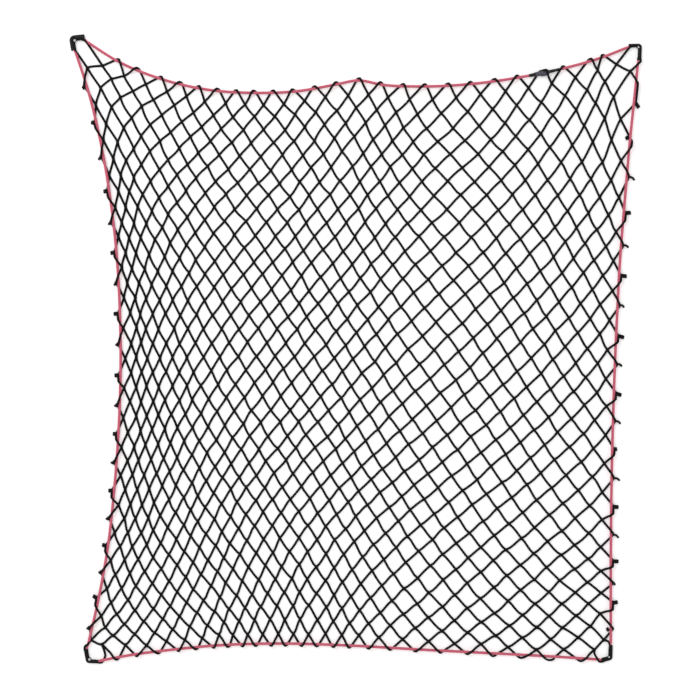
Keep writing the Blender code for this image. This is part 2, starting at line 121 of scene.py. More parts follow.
# Corner sleeves, in millimetres: a tube that the cord pulls close round a small gap. The twine
# inside it makes it wider towards the net, at each end and along each arm.
SLEEVES = {
    "top_left": {"gap": (-702.3, 771.6), "hole": 3.0, "tube": 4.9, "rib": 0.10,
                 "ends": ((-706.0, 746.5), (-677.8, 782.0)), "spare": (3.6, 3.8, 4.8, 9.2)},
    "top_right": {"gap": (707.5, 754.8), "hole": 2.2, "tube": 3.2, "rib": 0.08,
                  "ends": ((683.3, 759.6), (711.8, 721.3)), "spare": (4.7, 3.0, 3.7, 5.4)},
    "bottom_right": {"gap": (634.2, -770.2), "hole": 2.0, "tube": 3.2, "rib": 0.22,
                     "ends": ((640.0, -740.0), (615.8, -780.8)), "spare": (3.0, 4.5, 5.2, 4.6)},
    "bottom_left": {"gap": (-665.3, -776.0), "hole": 2.9, "tube": 3.3, "rib": 0.16,
                    "ends": ((-642.8, -783.1), (-676.5, -750.5)), "spare": (2.8, 3.4, 4.3, 5.0)},
}
SLEEVE_WALL = 0.7
FOLD_RADIUS = 1.3

# How far apart a sleeve's rings are, how its ribs turn from ring to ring, and where its spare width
# is reached along an arm and lost before the bend.
SLEEVE_STEP = 0.8
RIB_TURN = 1.7
ARM_SHARE = 0.35
BEND_LEAD = 2.0
BEND_SHARE = 0.6

# How far the cord is drawn in where it bends inside a sleeve, as a share of its own radius.
DRAWN_IN = 0.66

# How far before a sleeve the cord leaves its edge's line, and where in the mouth's width it goes in.
CORD_LEAD = 6.0
MOUTH_SHARE = 0.85

# The twines into the corners: the knot that each leaves, and its way into the sleeve, in millimetres.
CORNER_TWINES = (
    {"knot": (2, 1), "way": ((-671, 765, 9), (-680, 774, 7))},
    {"knot": (1, 2), "way": ((-696, 740, 8), (-703, 750, 7))},
    {"knot": (50, 1), "way": ((682, 750, 8), (690, 757, 7))},
    {"knot": (51, 2), "way": ((701, 707, 10), (708, 714, 12), (713, 719, 8), (712, 728, 7))},
    {"knot": (51, 40), "way": ((632, -731, 7), (636, -741, 7), (637, -750, 7))},
    {"knot": (50, 41), "way": ((597, -761, 9), (603, -772, 12), (609, -781, 8), (620, -781, 7))},
    {"knot": (2, 41), "way": ((-627, -761, 3), (-627, -771, 3), (-635, -784, 5), (-648, -782, 7))},
    {"knot": (1, 40), "way": ((-668, -737, 14), (-676, -743, 10), (-677, -753, 7))},
)

# Where along an edge, modulo 4 half meshes, the first leg of a loop lies over the cord.
FIRST_LEG_OVER = {"top": 1, "bottom": 3, "left": 3, "right": 3}

# How much steeper than straight a bar leaves its upper knot and reaches its lower one, in degrees,
# in the netting's upper left, upper right, lower left and lower right corner.
BAR_TURNS = {
    "down_right": {"top": (8, -4, -8, -10), "bottom": (-2, -9, -24, -10)},
    "down_left": {"top": (3, -3, -22, -3), "bottom": (4, -5, -13, -16)},
}
TURN_SPREAD = 6.5

CORD_HEIGHT = 8.8
SLEEVE_HEIGHT = 6.6
CORD_DROP = 14.0
CLEAR_OF_SLEEVE = 8.0

# Half meshes from a corner of the netting to the first loop of each edge.
FIRST_LOOP = 3

# Loops round the cord: how far out their middles lie and half their width there, in millimetres;
# then the slack ones of the bottom edge, and the one that the splice's tape holds down.
LOOP_REACH = 5.2
LOOP_WIDTH = 3.0
SLACK_LOOPS = {
    43: {"reach": 7.0, "width": 5.0},
    45: {"reach": 8.0, "width": 6.0},
    47: {"reach": 9.5, "width": 9.0},
    49: {"reach": 7.0, "width": 5.0},
}
TAPED_LOOP = {"across": 43, "runs": (1.0, 15.0)}

# How far the lower leg of every other side loop runs down beside the cord before it crosses it.
# The first loop on the right lies lower than its mesh, and its upper leg runs down beside the cord.
SIDE_RUNS = (15.0, 12.0, 17.0, 13.0, 15.0)
LONG_RUN = 44.0
LONG_RUN_DROP = 10.0

# A loop's legs: where their points lie from turn to knot, how far out they turn as a share of the
# loop's reach, and the least and most room in which they come down to the ground.
LEG_SHARES = (0.0, 0.13, 0.27, 0.42, 0.65)
LEG_TURN = {"top": 0.9, "bottom": 0.75, "left": 0.9, "right": 0.9}
LEG_ROOM = (4.0, 16.0)
LOOP_STEP = 3.0
CORNER_TWINE_STEP = 4.0

# The cut ends of the side loops, in millimetres and degrees: pairs and single tails by turns.
TIES = {
    "pair": {"offsets": (-2.2, 2.2), "wrapped": ("left", "right"), "length": {"left": 8.5, "right": 13.0},
             "drop": 0.5},
    "single": {"offsets": (0.0,), "wrapped": ("left",), "length": {"left": 7.5, "right": 13.5},
               "drop": 6.0},
    "first": {"offsets": (-2.0, 2.0), "wrapped": ("left", "right"), "length": {"left": 5.5, "right": 12.5},
              "drop": 0.5, "turn": -38.0},
    "inner": {"offsets": (-2.0, 2.0), "wrapped": ("right",), "length": {"right": 5.5},
              "drop": 0.5, "turn": -165.0, "rise": 12.0},
    "last": {"offsets": (-1.4, 1.4), "wrapped": ("right",), "length": {"right": 3.5},
             "drop": 0.5, "turn": -170.0},
}
TIE_LENGTHS = (1.0, 0.86, 1.08, 0.92, 1.02)
SHORT_TIES = {("right", 11): 0.5, ("right", 16): 0.45, ("right", 17): 0.8}
TIES_A_SIDE = 19

# How ties vary in direction, in degrees, how far they start inside the cord, and their points: along
# a tail, where it starts to drop, how far its end lies off the ground, and the step between them.
TIE_SPREAD = 8.0
TIE_SUNK = 1.0
TAIL_SHARES = (0.0, 0.35, 0.7, 1.0)
TAIL_STRAIGHT = 0.3
TAIL_LIFT = 0.3
TIE_STEP = 1.6

# The turn of twine over a tie: its points and those of a full turn, then its sizes in millimetres.
WRAP = {"points": 14, "full_turn": 12.0, "start": 1.0, "advance": 0.16, "across": 2.7, "up": 2.4, "low": 0.8}

# Braids, in metres: the length of a plait, and the steps and the height of the cord's own plaits.
TWINE_PLAIT = 0.0032
CORD_PLAIT = 0.006
CORD_STEP = 0.0012
CORD_RELIEF = 0.0002
PLAITS_ROUND = 4.0

# Netting knots: their width, height and middle over the ground as shares of the twine and of the
# height, and how much they vary in size.
KNOT = {"width": 1.42, "height": 1.25, "middle": 0.6, "unevenness": 0.08}

SEED = 11
STEPS_A_BAR = 4

# Sides of the round pieces.
SIDES = {"twine": 8, "tie": 10, "fold": 12, "cord": 16, "splice": 24, "sleeve": 28}


def linear(hex_colour):
    """An sRGB hex value as the linear colour that shaders take."""
    values = [int(hex_colour[k:k + 2], 16) / 255.0 for k in (1, 3, 5)]
    return tuple(v / 12.92 if v <= 0.04045 else ((v + 0.055) / 1.055) ** 2.4 for v in values)


def add(tree, kind, inputs=(), **settings):
    """Add a node with its settings, and link or set its inputs, in order or by name or number.

    A node among the inputs stands for the first of its outputs that is in use.
    """
    node = tree.nodes.new(kind)
    for name, value in settings.items():
        setattr(node, name, value)
    for key, value in inputs.items() if isinstance(inputs, dict) else enumerate(inputs):
        if isinstance(value, bpy.types.Node):
            value = next(socket for socket in value.outputs if socket.enabled)
        if isinstance(value, bpy.types.NodeSocket):
            tree.links.new(value, node.inputs[key])
        else:
            node.inputs[key].default_value = value
    return node


# ---------------------------------------------------------------- the net's lines


def slope(places, values, k):
    """Slope of a smooth table column at its k-th place."""
    last = len(places) - 1
    if k == 0:
        return (values[1] - values[0]) / (places[1] - places[0])
    if k == last:
        return (values[last] - values[last - 1]) / (places[last] - places[last - 1])
    before = places[k] - places[k - 1]
    after = places[k + 1] - places[k]
    rise_before = (values[k] - values[k - 1]) / before
    rise_after = (values[k + 1] - values[k]) / after
    return (rise_before * after + rise_after * before) / (before + after)


def smooth(places, values, at):
    """Value of a table column at any place, on a smooth curve through its values."""
    k = 0
    while k < len(places) - 2 and at > places[k + 1]:
        k += 1
    width = places[k + 1] - places[k]
    s = (at - places[k]) / width
    rise = 3.0 * s * s - 2.0 * s * s * s
    start = s * s * s - 2.0 * s * s + s
    end = s * s * s - s * s
    return (values[k] + (values[k + 1] - values[k]) * rise
            + slope(places, values, k) * width * start + slope(places, values, k + 1) * width * end)


def sheet_point(across, down):
    """Place of the netting in plan, in millimetres, from half meshes across and down."""
    rows = [section["row"] for section in SECTIONS]
    x = smooth(rows, [smooth(COLUMNS, section["x"], across) for section in SECTIONS], down)
    y = smooth(rows, [smooth(COLUMNS, section["y"], across) for section in SECTIONS], down)
    for sag in CORNER_SAGS:
        off_across = (across - sag["across"]) / sag["columns"]
        off_down = (down - sag["down"]) / sag["rows"]
        near = math.exp(-off_across ** 2 - off_down ** 2)
        x += sag["shift"][0] * near
        y += sag["shift"][1] * near
    return np.array([x, y, 0.0])


def unit(vector):
    """The vector with a length of one."""
    return vector / max(float(np.linalg.norm(vector)), 1e-9)


def ease(share):
    """A share from 0 to 1, eased at both ends."""
    return share * share * (3.0 - 2.0 * share)


def along_of(edge, pair):
    """The value that runs along an edge, of x and y or of across and down."""
    return pair[0] if edge in ("top", "bottom") else pair[1]


def edge_point(edge, along):
    """Point on the cord's centre line in plan, at a place along one edge."""
    table = EDGES[edge]
    across = smooth(table["along"], table["across"], along)
    if edge in ("top", "bottom"):
        return np.array([along, across, 0.0])
    return np.array([across, along, 0.0])


def edge_frame(edge, along):
    """The cord's point, its direction along the edge and the direction out of the net."""
    ahead = unit(edge_point(edge, along + 1.0) - edge_point(edge, along - 1.0))
    turn = 1.0 if edge in ("top", "bottom") else -1.0
    out = np.array([-ahead[1], ahead[0], 0.0]) * turn * OUTWARD[edge]
    return edge_point(edge, along), ahead, out


def edge_ends(edge):
    """The mouths of an edge's two corner sleeves, as places along it."""
    places = EDGES[edge]["along"]
    return float(places[0]), float(places[-1])


def cord_height(edge, along):
    """Height of the cord's centre: it comes down beside a corner sleeve."""
    low, high = edge_ends(edge)
    share = min(max(min(along - low, high - along) / CORD_DROP, 0.0), 1.0)
    return SLEEVE_HEIGHT + (CORD_HEIGHT - SLEEVE_HEIGHT) * ease(share)


def edge_run(edge, start, stop, step=8.0):
    """Points of the cord along an edge, a short step apart."""
    count = int(abs(stop - start) / step) + 1
    run = []
    for k in range(count + 1):
        along = start + (stop - start) * k / count
        point = edge_point(edge, along)
        point[2] = cord_height(edge, along)
        run.append(point)
    return run


def bend_angles(corner, start, stop):
    """Where the line from start to stop, drawn close round the sleeve's gap, meets and leaves it."""
    sleeve = SLEEVES[corner]
    reach = sleeve["hole"] + sleeve["tube"]
    angles = []
    for point, sign in ((start, -1.0), (stop, 1.0)):
        way = (point[0] - sleeve["gap"][0], point[1] - sleeve["gap"][1])
        angles.append(math.atan2(way[1], way[0]) + sign * math.acos(reach / math.hypot(*way)))
    return angles[0], (angles[0] - angles[1]) % math.tau


def round_gap(corner, reach, first, bend, steps=14):
    """Points clockwise round the gap of a sleeve, at a reach from its middle."""
    gap = np.array([*SLEEVES[corner]["gap"], SLEEVE_HEIGHT])
    run = []
    for k in range(steps + 1):
        angle = first - bend * k / steps
        run.append(gap + np.array([math.cos(angle), math.sin(angle), 0.0]) * reach)
    return run


def corner_run(corner, start, stop):
    """Points through a corner sleeve: straight to the bend, close round its gap, and straight on."""
    reach = SLEEVES[corner]["hole"] + SLEEVES[corner]["tube"]
    return [start, *round_gap(corner, reach, *bend_angles(corner, start, stop)), stop]


def sleeve_run(corner):
    """The line of a corner sleeve's outer wall, from end to end."""
    return corner_run(corner, *(np.array([*end, SLEEVE_HEIGHT]) for end in SLEEVES[corner]["ends"]))


def cord_mouths(corner):
    """Where the cord goes into a sleeve and comes out: netwards of the line of the outer wall."""
    spare = SLEEVES[corner]["spare"]
    gap = np.array([*SLEEVES[corner]["gap"], SLEEVE_HEIGHT])
    run = sleeve_run(corner)
    mouths = []
    for end, near, width in ((run[0], run[1], spare[0]), (run[-1], run[-2], spare[-1])):
        arm = unit(near - end)
        inward = unit((gap - end) - arm * ((gap - end) @ arm))
        mouths.append(end + inward * width * MOUTH_SHARE)
    return mouths


def border_run():
    """The cord's centre line from inside the splice round to inside it again, and its thickness."""
    ends = {edge: np.array(edge_ends(edge)) + (CORD_LEAD, -CORD_LEAD) for edge in EDGES}
    runs = [
        edge_run("top", SPLICE_JOINT + JOINT_GAP, ends["top"][1]),
        edge_run("right", ends["right"][1], ends["right"][0]),
        edge_run("bottom", ends["bottom"][1], ends["bottom"][0]),
        edge_run("left", ends["left"][0], ends["left"][1]),
        edge_run("top", ends["top"][0], SPLICE_JOINT - JOINT_GAP),
    ]
    path = list(runs[0])
    thickness = [1.0] * len(path)
    corners = ("top_right", "bottom_right", "bottom_left", "top_left")
    for corner, after in zip(corners, runs[1:]):
        bend = corner_run(corner, *cord_mouths(corner))
        path += bend + after
        thickness += [DRAWN_IN] * len(bend) + [1.0] * len(after)
    return path, thickness


def is_knot(place):
    """Whether a lattice place holds a knot of the netting, inside its edges."""
    return 1 <= place[0] < ACROSS and 1 <= place[1] < DOWN and (place[0] + place[1]) % 2 == 1


def over_panel(corners, place):
    """The value at a lattice place, from those in the corners; the lower ones act near the bottom."""
    upper_left, upper_right, lower_left, lower_right = corners
    across = place[0] / ACROSS
    down = (place[1] / DOWN) ** 3
    upper = upper_left + (upper_right - upper_left) * across
    lower = lower_left + (lower_right - lower_left) * across
    return upper + (lower - upper) * down


class Lattice:
    """The knots of the netting: where each one lies, and which way it points."""

    def __init__(self, sizes):
        draw = np.random.default_rng(SEED)
        radius = sizes.twine / MM / 2.0
        uneven = sizes.unevenness / MM
        self.places = {}
        self.ups = {}
        for down in range(DOWN + 1):
            for across in range(ACROSS + 1):
                place = (across, down)
                shift = np.clip(draw.normal(0.0, 1.0, 2), -2.0, 2.0) * uneven
                if not is_knot(place):
                    continue
                point = sheet_point(across, down)
                point[:2] += shift
                point[2] = radius
                self.places[place] = point
                self.ups[place] = unit(sheet_point(across, down - 0.5) - sheet_point(across, down + 0.5))


def hermite(first, last, leave, arrive, steps):
    """Points along a smooth curve between two points with given end slopes, both ends included."""
    s = np.linspace(0.0, 1.0, steps + 1)[:, None]
    return ((2 * s ** 3 - 3 * s ** 2 + 1) * first + (s ** 3 - 2 * s ** 2 + s) * leave
            + (3 * s ** 2 - 2 * s ** 3) * last + (s ** 3 - s ** 2) * arrive)


def turned(vector, degrees):
    """The vector turned in plan, anticlockwise."""
    turn = math.radians(degrees)
    return np.array([vector[0] * math.cos(turn) - vector[1] * math.sin(turn),
                     vector[0] * math.sin(turn) + vector[1] * math.cos(turn), 0.0])


def bar_points(lattice, upper, lower, draw):
    """One twine bar from a knot down to the next, with the slight bow or S that it lies in."""
    first = lattice.places[upper]
    last = lattice.places[lower]
    rightward = lower[0] > upper[0]
    turns = BAR_TURNS["down_right" if rightward else "down_left"]
    steeper = -1.0 if rightward else 1.0
    spread = TURN_SPREAD * np.clip(draw.normal(0.0, 1.0, 2), -2.0, 2.0)
    leave = turned(last - first, steeper * (over_panel(turns["top"], upper) + spread[0]))
    arrive = turned(last - first, steeper * (over_panel(turns["bottom"], lower) + spread[1]))
    return hermite(first, last, leave, arrive, STEPS_A_BAR)


def strand_lines(lattice):
    """The twines that cross the netting, each one from its first knot to its last."""
    draw = np.random.default_rng(SEED + 1)
    lines = []
    for step in (1, -1):
        for place in lattice.places:
            if is_knot((place[0] - step, place[1] - 1)):
                continue
            line = [lattice.places[place][None]]
            here = place
            while is_knot((here[0] + step, here[1] + 1)):
                there = (here[0] + step, here[1] + 1)
                line.append(bar_points(lattice, here, there, draw)[1:])
                here = there
            if here != place:
                lines.append(np.concatenate(line))
    return lines


def cord_radius(edge, along, sizes):
    """Radius of what a loop goes round there: the bare cord, or the tape of the splice."""
    bare = sizes.cord / MM / 2.0
    if edge != "top" or not SPLICE["x"][0] < along < SPLICE["x"][-1]:
        return bare
    return max(bare, smooth(SPLICE["x"], SPLICE["radius"], along))


def leg_height(outside, over, room, floor, reach):
    """Height of a loop's leg, from how far outside the cord's centre line it is."""
    crest = CORD_HEIGHT + reach if over else max(CORD_HEIGHT - reach, floor)
    if outside >= 0.0:
        turn = min(outside / reach, 1.0)
        return CORD_HEIGHT + (crest - CORD_HEIGHT) * math.sqrt(1.0 - turn * turn)
    return crest + (floor - crest) * ease(min(-outside / room, 1.0))


def spline_through(points, step):
    """Points a step apart on a smooth curve through the given ones."""
    points = [np.asarray(point, float) for point in points]
    line = []
    for k in range(len(points) - 1):
        before = points[max(k - 1, 0)]
        after = points[min(k + 2, len(points) - 1)]
        leave = (points[k + 1] - before) * 0.5
        arrive = (after - points[k]) * 0.5
        count = max(int(np.linalg.norm(points[k + 1] - points[k]) / step + 0.5), 1)
        line.append(hermite(points[k], points[k + 1], leave, arrive, count)[:-1])
    line.append(points[-1][None])
    line = np.concatenate(line)
    line[:, 2] = np.maximum(line[:, 2], min(point[2] for point in points))
    return line


def outside_cord(edge, point):
    """How far outside the cord's centre line a point lies in plan."""
    here, ahead, out = edge_frame(edge, along_of(edge, point))
    return float((point - here) @ out)


def loop_leg(knot, edge, along, run, reach, over, sizes):
    """Points of one leg of a loop, from outside the cord across it to the knot."""
    here, ahead, out = edge_frame(edge, along)
    side = 1.0 if (knot - here) @ ahead > 0.0 else -1.0
    here, ahead, out = edge_frame(edge, along + side * run)
    turn = here + out * reach
    room = float(np.clip(-outside_cord(edge, knot), *LEG_ROOM))
    floor = sizes.twine / MM / 2.0
    leg = []
    for share in LEG_SHARES:
        point = turn + (knot - turn) * share
        round_it = cord_radius(edge, along_of(edge, point), sizes) + floor
        point[2] = leg_height(outside_cord(edge, point), over, room, floor, round_it)
        leg.append(point)
    return leg + [knot]


def loop_line(edge, place, one, two, lattice, sizes):
    """A twine that runs from a knot to the cord, round outside it and back to the next knot."""
    level = along_of(edge, place)
    first_over = level % 4 == FIRST_LEG_OVER[edge]
    along = along_edge(edge, place)
    here, ahead, out = edge_frame(edge, along)
    reach = LOOP_REACH
    runs = [LOOP_WIDTH, LOOP_WIDTH]
    if edge == "bottom" and level in SLACK_LOOPS:
        reach = SLACK_LOOPS[level]["reach"]
        runs = [SLACK_LOOPS[level]["width"]] * 2
    if edge == "top" and level == TAPED_LOOP["across"]:
        runs = TAPED_LOOP["runs"]
    if edge in ("left", "right") and not first_over:
        runs[1] = SIDE_RUNS[level // 4 % len(SIDE_RUNS)]
    if edge == "right" and level == FIRST_LOOP:
        runs[0] = LONG_RUN
    legs = []
    for knot, run, over in ((one, runs[0], first_over), (two, runs[1], not first_over)):
        turn_reach = reach * LEG_TURN[edge]
        legs.append(loop_leg(lattice.places[knot], edge, along, run, turn_reach, over, sizes))
    apex = here + out * reach
    apex[2] = CORD_HEIGHT
    return spline_through(legs[0][::-1] + [apex] + legs[1], LOOP_STEP)


def along_edge(edge, place):
    """Where a loop sits along its edge, kept clear of the corner sleeves."""
    along = along_of(edge, sheet_point(*place))
    if edge == "right" and place[1] == FIRST_LOOP:
        along -= LONG_RUN_DROP
    low, high = edge_ends(edge)
    return float(np.clip(along, low + CLEAR_OF_SLEEVE, high - CLEAR_OF_SLEEVE))


def loop_places():
    """Each loop of the netting round the cord: its edge, its place and the two knots it joins."""
    loops = []
    for across in range(FIRST_LOOP, ACROSS - 2, 2):
        loops.append(("top", (across, 0), (across - 1, 1), (across + 1, 1)))
        loops.append(("bottom", (across, DOWN), (across - 1, DOWN - 1), (across + 1, DOWN - 1)))
    for down in range(FIRST_LOOP, DOWN - 2, 2):
        loops.append(("left", (0, down), (1, down - 1), (1, down + 1)))
        loops.append(("right", (ACROSS, down), (ACROSS - 1, down - 1), (ACROSS - 1, down + 1)))
    return loops


def edge_lines(lattice, sizes):
    """The twines of the edge meshes: loops round the cord, and two strands into each corner."""
    lines = [loop_line(*loop, lattice, sizes) for loop in loop_places()]
    for twine in CORNER_TWINES:
        lines.append(spline_through([lattice.places[twine["knot"]], *twine["way"]], CORNER_TWINE_STEP))
    return lines


def tie_kind(edge, k):
    """The kind of tie at the k-th side mesh: they take turns, but for a few on the right."""
    if k == 0:
        return TIES["first"]
    if k == 1 and edge == "right":
        return TIES["inner"]
    if k == TIES_A_SIDE - 1 and edge == "right":
        return TIES["last"]
    return TIES["pair" if k % 2 else "single"]


def tie_lines(edge, k, draw, sizes):
    """The cut ends of a side loop: a pair or a single tail, most under a turn of twine."""
    column = 0 if edge == "left" else ACROSS
    tie = tie_kind(edge, k)
    here, ahead, out = edge_frame(edge, along_edge(edge, (column, FIRST_LOOP + 2 * k)) + tie.get("rise", 0.0))
    length = tie["length"][edge] * TIE_LENGTHS[k % len(TIE_LENGTHS)] * SHORT_TIES.get((edge, k), 1.0)
    drop = tie["drop"] if edge == "right" else tie["drop"] / 3.0
    turn = tie.get("turn", 0.0) if edge == "right" else 0.0
    way = turned(out, turn + TIE_SPREAD * float(draw.normal()))
    side = turned(way, 90.0)
    radius = sizes.twine / MM / 2.0
    start = here + way * (sizes.cord / MM / 2.0 + radius - TIE_SUNK)
    lines = []
    for offset in tie["offsets"]:
        line = []
        for step in TAIL_SHARES:
            fall = max(step - TAIL_STRAIGHT, 0.0) / (1.0 - TAIL_STRAIGHT)
            point = start + side * offset + way * length * step - ahead * drop * fall * fall
            point[2] = CORD_HEIGHT - (CORD_HEIGHT - radius - TAIL_LIFT) * step * step
            line.append(point)
        lines.append(spline_through(line, TIE_STEP))
    if edge in tie["wrapped"]:
        wrap = []
        for step in range(WRAP["points"]):
            angle = math.tau * step / WRAP["full_turn"]
            point = start + way * (WRAP["start"] + WRAP["advance"] * step)
            point += side * math.cos(angle) * WRAP["across"]
            point[2] = CORD_HEIGHT - WRAP["low"] + math.sin(angle) * WRAP["up"]
            wrap.append(point)
        lines.append(spline_through(wrap, TIE_STEP))
    return lines


def way_along(points):
    """How far along a line each of its points lies."""
    return np.concatenate([[0.0], np.cumsum(np.linalg.norm(np.diff(points, axis=0), axis=1))])


def evenly(points, step):
    """Points about a step apart along the given line, both of its ends among them."""
    points = np.asarray(points, float)
    way = way_along(points)
    stops = np.linspace(0.0, way[-1], int(way[-1] / step) + 2)
    return stops, np.stack([np.interp(stops, way, points[:, k]) for k in range(3)], axis=1)


# ---------------------------------------------------------------- meshes


def new_object(data):
    """An object for a mesh, a lamp or a camera, in the scene and with its name."""
    piece = bpy.data.objects.new(data.name, data)
    bpy.context.scene.collection.objects.link(piece)
    return piece


def line_piece(name, lines, thickness):
    """A mesh of edges only that follows the given lines, in metres, for a node tree to thicken."""
    points = []
    edges = []
    for line in lines:
        first = len(points)
        points += [tuple(point) for point in (np.asarray(line) - OUTLINE_MIDDLE) * MM]
        edges += [(k, k + 1) for k in range(first, len(points) - 1)]
    mesh = bpy.data.meshes.new(name)
    mesh.from_pydata(points, edges, [])
    shares = mesh.attributes.new("thickness", "FLOAT", "POINT")
    shares.data.foreach_set("value", thickness or [1.0] * len(points))
    return new_object(mesh)


def grow(piece, tree, values):
    """Run a node tree on a piece, and keep the result as its plain mesh."""
    modifier = piece.modifiers.new(tree.name, "NODES")
    modifier.node_group = tree
    for item in tree.interface.items_tree:
        if item.item_type == "SOCKET" and item.in_out == "INPUT" and item.name in values:
            modifier[item.identifier] = values[item.name]
    bpy.context.view_layer.update()
    evaluated = piece.evaluated_get(bpy.context.evaluated_depsgraph_get())
    mesh = bpy.data.meshes.new_from_object(evaluated)
    if not mesh.polygons:
        raise RuntimeError(piece.name + " came out of its node tree with no faces")
    piece.modifiers.remove(modifier)
    old = piece.data
    piece.data = mesh
    bpy.data.meshes.remove(old)
    mesh.name = piece.name
    return piece


def new_tree(name, sockets):
    """A node tree with a geometry in and out and the named inputs given."""
    tree = bpy.data.node_groups.new(name, "GeometryNodeTree")
    tree.interface.new_socket("Geometry", in_out="INPUT", socket_type="NodeSocketGeometry")
    tree.interface.new_socket("Geometry", in_out="OUTPUT", socket_type="NodeSocketGeometry")
    for label, kind in sockets:
        tree.interface.new_socket(label, in_out="INPUT", socket_type="NodeSocket" + kind)
    return tree, add(tree, "NodeGroupInput").outputs


def end_tree(tree, geometry, material):
    """Smooth the shading, realize the instances, set the material and end the tree."""
    shade = add(tree, "GeometryNodeSetShadeSmooth", (geometry,))
    real = add(tree, "GeometryNodeRealizeInstances", (shade,))
    done = add(tree, "GeometryNodeSetMaterial", {"Geometry": real, "Material": material})
    add(tree, "NodeGroupOutput", (done,))
    return tree


def weave_pattern(tree, along, ring, strands, rate):
    """How high a braid's plaits stand, from the way along a strand and the place round it."""
    parts = add(tree, "ShaderNodeSeparateXYZ", (ring,))
    angle = add(tree, "ShaderNodeMath", (parts.outputs["Y"], parts.outputs["X"]), operation="ARCTAN2")
    turns = add(tree, "ShaderNodeMath", (angle, strands), operation="MULTIPLY")
    phase = add(tree, "ShaderNodeMath", (along, rate), operation="MULTIPLY")
    waves = []
    for operation in ("ADD", "SUBTRACT"):
        joined = add(tree, "ShaderNodeMath", (phase, turns), operation=operation)
        waves.append(add(tree, "ShaderNodeMath", (joined,), operation="SINE"))
    return add(tree, "ShaderNodeMath", waves, operation="MAXIMUM")


def strand_tree():
    """Thickens lines to round strands, and keeps the way along and round each for its braid."""
    tree, given = new_tree("Braided Strands", (
        ("Radius", "Float"), ("Sides", "Int"), ("Step", "Float"), ("Relief", "Float"),
        ("Plait", "Float"), ("Strands", "Float"), ("Material", "Material")))
    curve = add(tree, "GeometryNodeMeshToCurve", {"Mesh": given["Geometry"]})
    wanted = add(tree, "FunctionNodeCompare", (given["Step"], 0.0), operation="GREATER_THAN")
    even = add(tree, "GeometryNodeResampleCurve",
               {"Curve": curve, "Selection": wanted, "Length": given["Step"]}, mode="LENGTH")
    way = add(tree, "GeometryNodeSplineParameter")
    line = add(tree, "GeometryNodeStoreNamedAttribute",
               {"Geometry": even, "Name": "along", "Value": way.outputs["Length"]},
               data_type="FLOAT", domain="POINT")
    circle = add(tree, "GeometryNodeCurvePrimitiveCircle",
                 {"Resolution": given["Sides"], "Radius": given["Radius"]})
    spot = add(tree, "GeometryNodeInputPosition")
    round_spot = add(tree, "ShaderNodeVectorMath", (spot,), operation="NORMALIZE")
    ring = add(tree, "GeometryNodeStoreNamedAttribute",
               {"Geometry": circle, "Name": "ring", "Value": round_spot},
               data_type="FLOAT_VECTOR", domain="POINT")
    thickness = add(tree, "GeometryNodeInputNamedAttribute", {"Name": "thickness"}, data_type="FLOAT")
    tube = add(tree, "GeometryNodeCurveToMesh",
               {"Curve": line, "Profile Curve": ring, "Scale": thickness, "Fill Caps": True})
    ring_back = add(tree, "GeometryNodeInputNamedAttribute", {"Name": "ring"}, data_type="FLOAT_VECTOR")
    along_back = add(tree, "GeometryNodeInputNamedAttribute", {"Name": "along"}, data_type="FLOAT")
    pitch = add(tree, "ShaderNodeMath", (math.tau, given["Plait"]), operation="DIVIDE")
    weave = weave_pattern(tree, along_back, ring_back, given["Strands"], pitch)
    lift = add(tree, "ShaderNodeMath", (weave, given["Relief"]), operation="MULTIPLY")
    normal = add(tree, "GeometryNodeInputNormal")
    offset = add(tree, "ShaderNodeVectorMath", {0: normal, "Scale": lift}, operation="SCALE")
    raised = add(tree, "GeometryNodeSetPosition", {"Geometry": tube, "Offset": offset})
    return end_tree(tree, raised, given["Material"])


def knot_tree():
    """Puts a ridged knot body on each point, turned to the point's own direction."""
    tree, given = new_tree("Twine Knots", (
        ("Length", "Float"), ("Width", "Float"), ("Height", "Float"), ("Unevenness", "Float"),
        ("Seed", "Int"), ("Material", "Material")))
    ball = add(tree, "GeometryNodeMeshUVSphere", {"Segments": 8, "Rings": 6, "Radius": 0.5})
    spot = add(tree, "GeometryNodeInputPosition")
    parts = add(tree, "ShaderNodeSeparateXYZ", (spot,))
    ridge_at = add(tree, "ShaderNodeMath", (parts.outputs["Z"], 13.0, 0.8), operation="MULTIPLY_ADD")
    ridge = add(tree, "ShaderNodeMath", (ridge_at,), operation="SINE")
    swell = add(tree, "ShaderNodeMath", (ridge, 0.10), operation="MULTIPLY")
    push = add(tree, "ShaderNodeVectorMath", {0: spot, "Scale": swell}, operation="SCALE")
    body = add(tree, "GeometryNodeSetPosition", {"Geometry": ball, "Offset": push})
    facing = add(tree, "GeometryNodeInputNamedAttribute", {"Name": "facing"}, data_type="FLOAT_VECTOR")
    aimed = add(tree, "FunctionNodeAlignRotationToVector", {"Vector": facing}, axis="Z")
    upright = add(tree, "FunctionNodeAlignRotationToVector",
                  {"Rotation": aimed, "Vector": (0.0, 0.0, 1.0)}, axis="Y", pivot_axis="Z")
    size = add(tree, "ShaderNodeCombineXYZ", (given["Width"], given["Height"], given["Length"]))
    low = add(tree, "ShaderNodeMath", (1.0, given["Unevenness"]), operation="SUBTRACT")
    high = add(tree, "ShaderNodeMath", (1.0, given["Unevenness"]), operation="ADD")
    vary = add(tree, "FunctionNodeRandomValue",
               {"Min": low, "Max": high, "Seed": given["Seed"]}, data_type="FLOAT")
    scale = add(tree, "ShaderNodeVectorMath", {0: size, "Scale": vary}, operation="SCALE")
    points = add(tree, "GeometryNodeMeshToPoints", {"Mesh": given["Geometry"]})
    many = add(tree, "GeometryNodeInstanceOnPoints",
               {"Points": points, "Instance": body, "Rotation": upright, "Scale": scale})
    return end_tree(tree, many, given["Material"])


